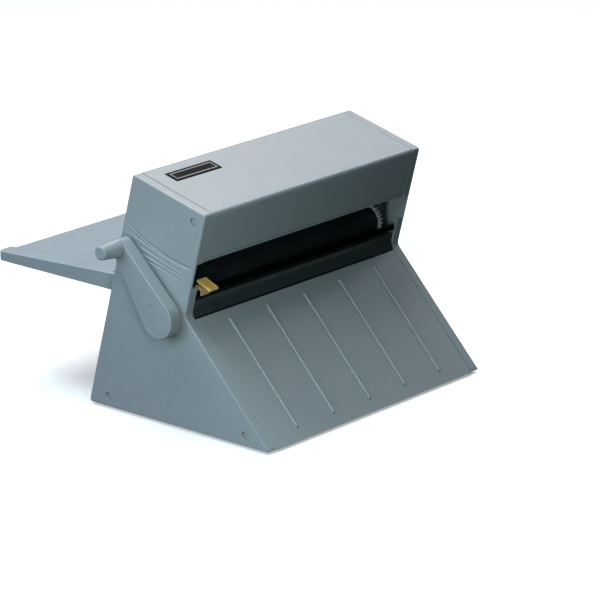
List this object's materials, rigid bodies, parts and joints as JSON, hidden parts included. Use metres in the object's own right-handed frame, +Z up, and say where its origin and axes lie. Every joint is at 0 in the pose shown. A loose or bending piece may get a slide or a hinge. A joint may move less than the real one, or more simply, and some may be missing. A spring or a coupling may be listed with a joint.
{
  "type": "hand-cranked roll laminator",
  "caption": "Desktop heat-free laminator: film rolls above and below a geared roller nip, side crank, hinged lid, folding feed tray and a sliding cutter at the front exit.",
  "frame": {"origin": "middle of the whole machine's footprint, at the bottom of its rubber feet", "axes": "+X along the width with the crank at -X, +Y from the front exit to the rear feed tray, +Z up"},
  "size_m": [0.42, 0.4226, 0.2805],
  "materials": {
    "case_plastic": "fine moulded grain, blue-grey",
    "black_plastic": "satin black",
    "black_aluminium": "black anodised",
    "yellow_plastic": "semi-gloss",
    "pale_plastic": "natural acetal",
    "roller_rubber": "ground and polished",
    "foot_rubber": "matt",
    "bright_steel": "ground",
    "zinc_steel": "zinc plated",
    "painted_steel": "painted to match the case",
    "bronze": "sintered",
    "card": "wound card",
    "clear_film": "clear polyester film"
  },
  "bodies": {
    "chassis": {"left_end_cap": "case_plastic", "right_end_cap": "case_plastic", "front_panel": "case_plastic", "rear_panel": "case_plastic", "base_plate": "case_plastic", "exit_ramp": "black_plastic", "feed_guide": "black_plastic", "cutter_rail": "black_aluminium", "foot_front_left": "foot_rubber", "foot_front_right": "foot_rubber", "foot_rear_left": "foot_rubber", "foot_rear_right": "foot_rubber", "lid_hinge_pin_left": "bright_steel", "lid_hinge_pin_right": "bright_steel", "tray_hinge_pin_left": "bright_steel", "tray_hinge_pin_right": "bright_steel", "left_frame_plate": "zinc_steel", "right_frame_plate": "zinc_steel", "tie_rod_front_top": "bright_steel", "tie_rod_rear_bottom": "bright_steel", "tie_rod_front_bottom": "bright_steel", "cap_screw_left_front_top": "painted_steel", "cap_screw_right_front_top": "painted_steel", "cap_screw_left_rear_bottom": "painted_steel", "cap_screw_right_rear_bottom": "painted_steel", "cap_screw_left_front_bottom": "painted_steel", "cap_screw_right_front_bottom": "painted_steel", "lower_bush_left": "bronze", "lower_bush_right": "bronze", "pressure_spring_left": "bright_steel", "pressure_spring_right": "bright_steel", "upper_film_web": "clear_film", "lower_film_web": "clear_film"},
    "lid": {"lid": "case_plastic", "badge": "black_plastic"},
    "tray": {"feed_tray": "case_plastic"},
    "crank": {"crank_arm": "case_plastic", "knob_pin": "bright_steel", "lower_roller_shaft": "bright_steel", "lower_roller_sleeve": "roller_rubber", "lower_gear": "pale_plastic"},
    "knob": {"crank_knob": "case_plastic"},
    "upper_bearings": {"upper_bearing_left": "pale_plastic", "upper_bearing_right": "pale_plastic"},
    "upper_roller": {"upper_roller_shaft": "bright_steel", "upper_roller_sleeve": "roller_rubber", "upper_gear": "pale_plastic"},
    "upper_film_roll": {"upper_film": "clear_film", "upper_film_core": "card", "upper_film_hub_left": "black_plastic", "upper_film_hub_right": "black_plastic"},
    "lower_film_roll": {"lower_film": "clear_film", "lower_film_core": "card", "lower_film_hub_left": "black_plastic", "lower_film_hub_right": "black_plastic"},
    "cutter": {"cutter_carriage": "yellow_plastic", "cutter_tab": "yellow_plastic", "cutter_blade": "bright_steel"}
  },
  "joints": [
    {"name": "lid_hinge", "type": "hinge", "parent": "chassis", "child": "lid", "pos_m": [0.025, -0.01153, 0.26902], "axis": [-1, 0, 0], "range_deg": [0, 115]},
    {"name": "tray_hinge", "type": "hinge", "parent": "chassis", "child": "tray", "pos_m": [0.025, 0.02525, 0.1525], "axis": [1, 0, 0], "range_deg": [0, 90]},
    {"name": "crank_turn", "type": "hinge", "parent": "chassis", "child": "crank", "pos_m": [0.025, -0.06775, 0.1295], "axis": [1, 0, 0], "continuous": true},
    {"name": "knob_spin", "type": "hinge", "parent": "crank", "child": "knob", "pos_m": [-0.195, -0.01125, 0.201], "axis": [1, 0, 0], "continuous": true},
    {"name": "nip_lift", "type": "slide", "parent": "chassis", "child": "upper_bearings", "axis": [0, 0, 1], "range_m": [0, 0.0015], "stiffness_N_per_m": 8000, "springref_m": -0.006, "deforming": ["pressure_spring_left", "pressure_spring_right"]},
    {"name": "upper_roller_turn", "type": "hinge", "parent": "upper_bearings", "child": "upper_roller", "pos_m": [0.025, -0.06775, 0.1625], "axis": [1, 0, 0], "continuous": true},
    {"name": "upper_film_unwind", "type": "hinge", "parent": "chassis", "child": "upper_film_roll", "pos_m": [0.025, -0.05525, 0.225], "axis": [1, 0, 0], "continuous": true},
    {"name": "lower_film_unwind", "type": "hinge", "parent": "chassis", "child": "lower_film_roll", "pos_m": [0.025, -0.04225, 0.081], "axis": [1, 0, 0], "continuous": true},
    {"name": "cutter_slide", "type": "slide", "parent": "chassis", "child": "cutter", "axis": [1, 0, 0], "range_m": [0, 0.305]}
  ],
  "couplings": [
    {"joint": "upper_roller_turn", "follows": "crank_turn", "ratio": -1},
    {"joint": "upper_film_unwind", "follows": "crank_turn", "ratio": -0.582},
    {"joint": "lower_film_unwind", "follows": "crank_turn", "ratio": 0.582}
  ]
}
